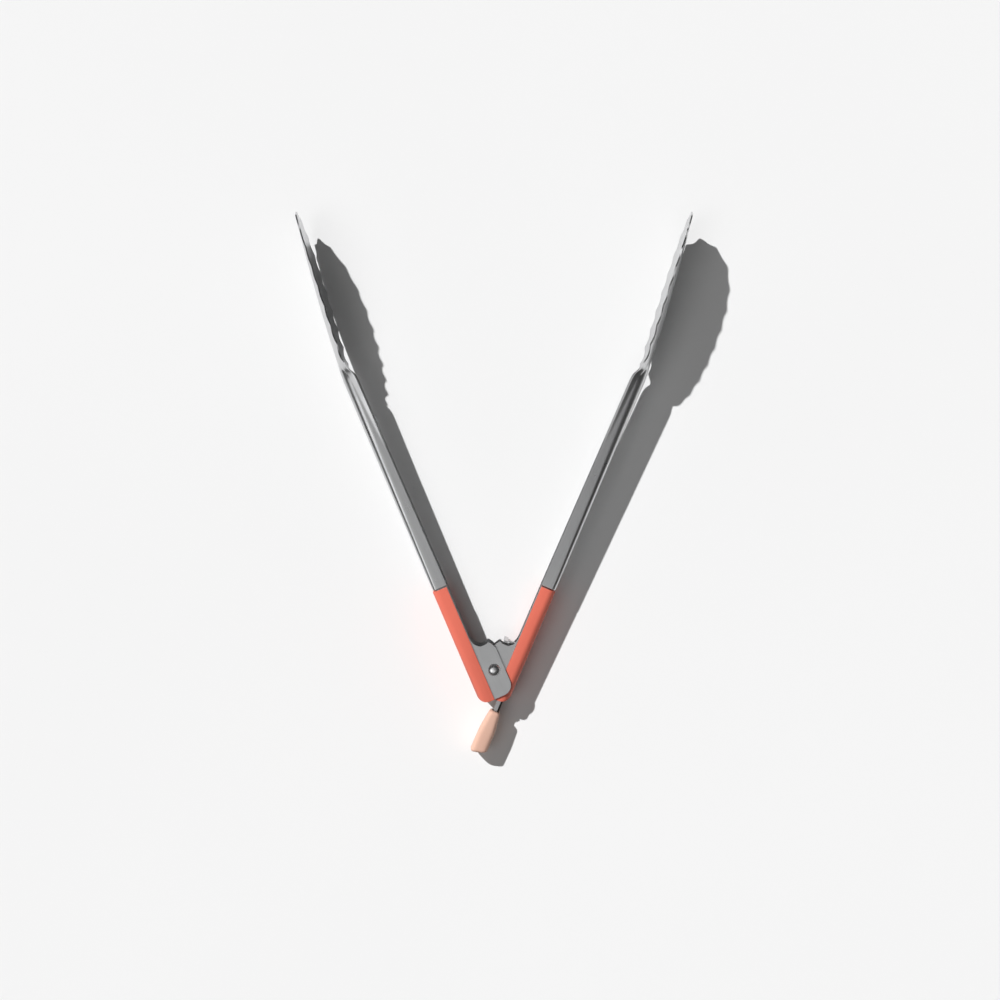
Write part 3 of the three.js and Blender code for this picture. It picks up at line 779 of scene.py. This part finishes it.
def spring_line():
    """Centre line of the wire: a leg along each arm's back and the coil between them."""
    start = math.pi + HALF_OPENING + LEG_SPLAY
    coil = (2 * math.pi * COIL_TURNS + 3 * math.pi - 2 * start) * COIL_RADIUS
    places = [LEG * i / LEG_STEPS for i in range(LEG_STEPS)]
    places += [LEG + coil * i / COIL_STEPS for i in range(COIL_STEPS + 1)]
    places += [LEG + coil + LEG * i / LEG_STEPS for i in range(1, LEG_STEPS + 1)]
    points = []
    for travelled in places:
        turned = min(max(travelled - LEG, 0), coil)
        angle = start + turned / COIL_RADIUS
        straight = travelled - LEG - turned
        x = COIL_RADIUS * math.cos(angle) - straight * math.sin(angle)
        y = COIL_RADIUS * math.sin(angle) + straight * math.cos(angle)
        points.append(Vector((x, y, mix(COIL_LOW, COIL_HIGH, turned / coil))))
    return points


def wire_ring(point, way):
    """Points round the wire, square to the way it runs."""
    across = way.cross(Vector((0, 0, 1))).normalized()
    up = across.cross(way)
    ring = []
    for angle in full_turn(WIRE_SIDES):
        ring.append(point + (across * math.cos(angle) + up * math.sin(angle)) * WIRE_RADIUS)
    return ring


def make_spring():
    line = spring_line()
    rings = []
    for i, point in enumerate(line):
        way = (line[min(i + 1, len(line) - 1)] - line[max(i - 1, 0)]).normalized()
        rings.append(wire_ring(point, way))
    obj = make_object("fine_torsion_spring", loft(rings), hinge_matrix(), wire_steel)
    add_bevel(obj, WIRE_EDGE, 2, 50)
    apply_modifiers(obj)
    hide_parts("torsion_spring")
    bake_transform(obj)


# Lock


def slider_boxes():
    """Boxes that make up the slider, as outlines in plan with their heights: its strip, the tongue
    to the lock bar, the bar, and the strip's two stiffening sides."""
    low, high = STRIP_Z
    link_side = box_outline((STRIP_BACK - LINK_DEPTH, STRIP_BACK), LINK)
    bar_width = (-BAR_HALF_WIDTH, BAR_HALF_WIDTH)
    return (
        (box_outline((STRIP_BACK - STRIP_SHEET, STRIP_BACK), (LINK[0], BAR[1])), low, high),
        (box_outline((-BAR_HALF_WIDTH, STRIP_BACK), BAR), TONGUE_BOTTOM, high),
        (box_outline(bar_width, BAR), -BAR_HALF_HEIGHT, BAR_HALF_HEIGHT),
        (link_side, low, low + STRIP_SHEET),
        (link_side, high - STRIP_SHEET, high),
    )


def slot_cutter(arm):
    """The slot in the strip that runs on the guide rivet."""
    half = GUIDE_RADIUS + GAP
    outline = stadium(GUIDE_AT - half, GUIDE_AT + half + LOCK_TRAVEL, sum(STRIP_Z) / 2, half)
    depth = (STRIP_BACK - STRIP_SHEET - 1, STRIP_BACK + 1)
    return make_cutter(prism(outline, *depth, lift_cross), arm, link_steel)


def make_slider(arm):
    pieces = []
    for outline, bottom, top in slider_boxes():
        bm = prism(outline, bottom, top, lift_plan)
        pieces.append(make_object("part", bm, side_matrix(arm["side"]), link_steel))
    obj = pieces[0]
    obj.name = "fine_lock_slider"
    for piece in pieces[1:]:
        join = obj.modifiers.new("join", "BOOLEAN")
        join.operation = "UNION"
        join.object = piece
    apply_modifiers(obj)
    for piece in pieces[1:]:
        bpy.data.objects.remove(piece)
    cut(obj, slot_cutter(arm))
    add_bevel(obj, SLIDER_EDGE)
    apply_modifiers(obj, flat=True)
    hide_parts("lock_slider")
    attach(obj, "lock_slider")


def make_guide_rivet(arm):
    face = STRIP_BACK - STRIP_SHEET - GAP
    seat = SEAT_BACK + GAP
    profile = [(radius, face - height) for radius, height in GUIDE_LOW_HEAD]
    profile += [(GUIDE_HEAD, face), (GUIDE_RADIUS, face), (GUIDE_RADIUS, seat), (GUIDE_HEAD, seat)]
    profile += [(radius, seat + height) for radius, height in GUIDE_TOP_HEAD]
    across = Matrix(((0, 0, 1, 0), (0, 1, 0, GUIDE_AT), (-1, 0, 0, sum(STRIP_Z) / 2), (0, 0, 0, 1)))
    obj = lathe("fine_guide_rivet", profile, polished, side_matrix(arm["side"]) @ across, 48)
    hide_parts("guide_rivet")
    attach(obj, "inner_arm")


def tab_ring(part):
    """A rounded square round the tab, part of the way from its root to its slanted end."""
    end, root = TAB
    along = mix(root, end + TAB_SLANT / 2, part)
    edge = min(root - along, along - end - TAB_SLANT / 2)
    inset = TAB_SOFT - math.sqrt(max(TAB_SOFT * TAB_SOFT - max(TAB_SOFT - edge, 0) ** 2, 0))
    spread = min((root - along) / (root - TAB_SHOULDER), 1)
    x_half = TAB_ROOT_HALF + TAB_SWELL * smooth(spread, *TAB_EASE) + TAB_SPREAD * part - inset
    z_half = TAB_TALL - inset
    ring = []
    for angle in full_turn(TAB_SIDES):
        c, s = math.cos(angle), math.sin(angle)
        x = math.copysign(abs(c) ** (2 / TAB_SQUARE), c) * x_half
        z = math.copysign(abs(s) ** (2 / TAB_SQUARE), s) * z_half
        slant = 0.5 * TAB_SLANT * part**3 * x / TAB_END_HALF
        ring.append((TAB_AXIS + x, along + slant, z))
    return ring


def make_tab(arm):
    """Soft tab, a rounded loft cut at a slant at its end, with a socket for the slider's end."""
    parts = [0.5 - 0.5 * math.cos(math.pi * i / TAB_RINGS) for i in range(TAB_RINGS + 1)]
    bm = loft([tab_ring(part) for part in parts])
    obj = make_object("fine_pull_tab", bm, side_matrix(arm["side"]), peach, 50)
    breadth = (STRIP_BACK - LINK_DEPTH - GAP, STRIP_BACK + GAP)
    socket = box_outline(breadth, (LINK[0] - GAP, TAB[1] + 1))
    cut(obj, make_cutter(prism(socket, STRIP_Z[0] - GAP, STRIP_Z[1] + GAP, lift_plan), arm, peach))
    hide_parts("pull_tab")
    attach(obj, "lock_slider")


# Pieces

for body, steel in (("outer", outer_steel), ("inner", inner_steel)):
    arm = ARMS[body]
    fine_arm = make_arm(f"fine_{body}_arm", arm, steel)
    if arm["stop"]:
        hole = guide_cutter(arm, GUIDE_RADIUS + GAP, SEAT_BACK - 2, SEAT_BACK + 1, steel)
        cut(fine_arm, hole)
    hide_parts(f"{body}_arm")
    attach(fine_arm, f"{body}_arm")
    fine_grip = make_grip(f"fine_{body}_grip", arm)
    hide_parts(f"{body}_grip")
    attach(fine_grip, f"{body}_arm")

make_rivets()
make_rings()
make_spring()
make_slider(ARMS["inner"])
make_guide_rivet(ARMS["inner"])
make_tab(ARMS["inner"])

# Floor, light and camera. The tongs rest on the paddles' lower rims and on the rivet's lower cap, so
# the floor slopes a little in the row frame.

scene = bpy.context.scene
scene.view_settings.view_transform = "Standard"
rim_low = side_matrix(1) @ Vector((RIM_ACROSS, NECK + PADDLE_WIDEST, 0))
rim_low.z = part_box("outer_arm")[0][2]
cap_low = Vector((HINGE.x, HINGE.y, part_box("rivet_cap")[0][2]))
slope = math.atan2(cap_low.z - rim_low.z, rim_low.y - cap_low.y)
floor_frame = Matrix.Translation((0, rim_low.y, rim_low.z)) @ Matrix.Rotation(-slope, 4, "X")


def make_floor():
    bm = bmesh.new()
    bmesh.ops.create_grid(bm, x_segments=8, y_segments=8, size=FLOOR_REACH)
    dark, light = (0.845, 0.845, 0.845), (0.855, 0.855, 0.855)
    look = tone_look("floor", dark, light, 3, Roughness=0.9, Specular_IOR_Level=0.1)
    floor = make_object("floor", bm, floor_frame, look)


def aim(obj, place, direction):
    """Puts a lamp or camera at a place in the floor's frame, looking along a direction."""
    turn = Vector(direction).to_track_quat("-Z", "Y").to_matrix().to_4x4()
    obj.matrix_world = floor_frame @ Matrix.Translation(place) @ turn


def make_light():
    flat = math.cos(SUN_ELEVATION) * math.sqrt(0.5)
    lamp = bpy.data.lights.new("key", "SUN")
    lamp.energy = SUN_LEVEL
    lamp.angle = SUN_ANGLE
    key = bpy.data.objects.new("key", lamp)
    scene.collection.objects.link(key)
    aim(key, (0, 0, 0), (flat, -flat, -math.sin(SUN_ELEVATION)))
    key.visible_glossy = False


def make_sky():
    """A dim room, lighter along the horizon, with one broad soft box overhead to the left that has
    a brighter core and is shaded straight overhead."""
    world = bpy.data.worlds.new("studio")
    scene.world = world
    world.use_nodes = True
    sky = Nodes(world.node_tree)
    math_node = "ShaderNodeVectorMath"
    way = sky.tree.nodes.new("ShaderNodeTexCoord").outputs["Generated"]

    def facing(direction):
        inputs = {0: way, 1: Vector(direction).normalized()}
        return sky.node(math_node, inputs, "DOT_PRODUCT").outputs["Value"]

    height = sky.node("ShaderNodeSeparateXYZ", {"Vector": way}).outputs["Z"]
    room = sky.ramp(height, *HORIZON)
    box = sky.ramp(facing(SOFT_BOX), *BOX_EDGE)
    gap = sky.ramp(height, *OVERHEAD)
    core = sky.ramp(facing(BOX_CORE), *CORE_EDGE)
    lit = sky.node(math_node, {0: box, 1: gap, 2: room}, "MULTIPLY_ADD").outputs["Vector"]
    total = sky.node(math_node, {0: lit, 1: core}, "ADD").outputs["Vector"]
    sky.tree.links.new(total, sky.tree.nodes["Background"].inputs["Color"])


def make_camera():
    lens = bpy.data.cameras.new("camera")
    lens.lens = LENS
    lens.sensor_width = SENSOR
    lens.clip_start, lens.clip_end = CLIP
    camera = bpy.data.objects.new("camera", lens)
    scene.collection.objects.link(camera)
    aim(camera, CAMERA_PLACE, (0, 0, -1))
    scene.camera = camera


make_floor()
make_light()
make_sky()
make_camera()
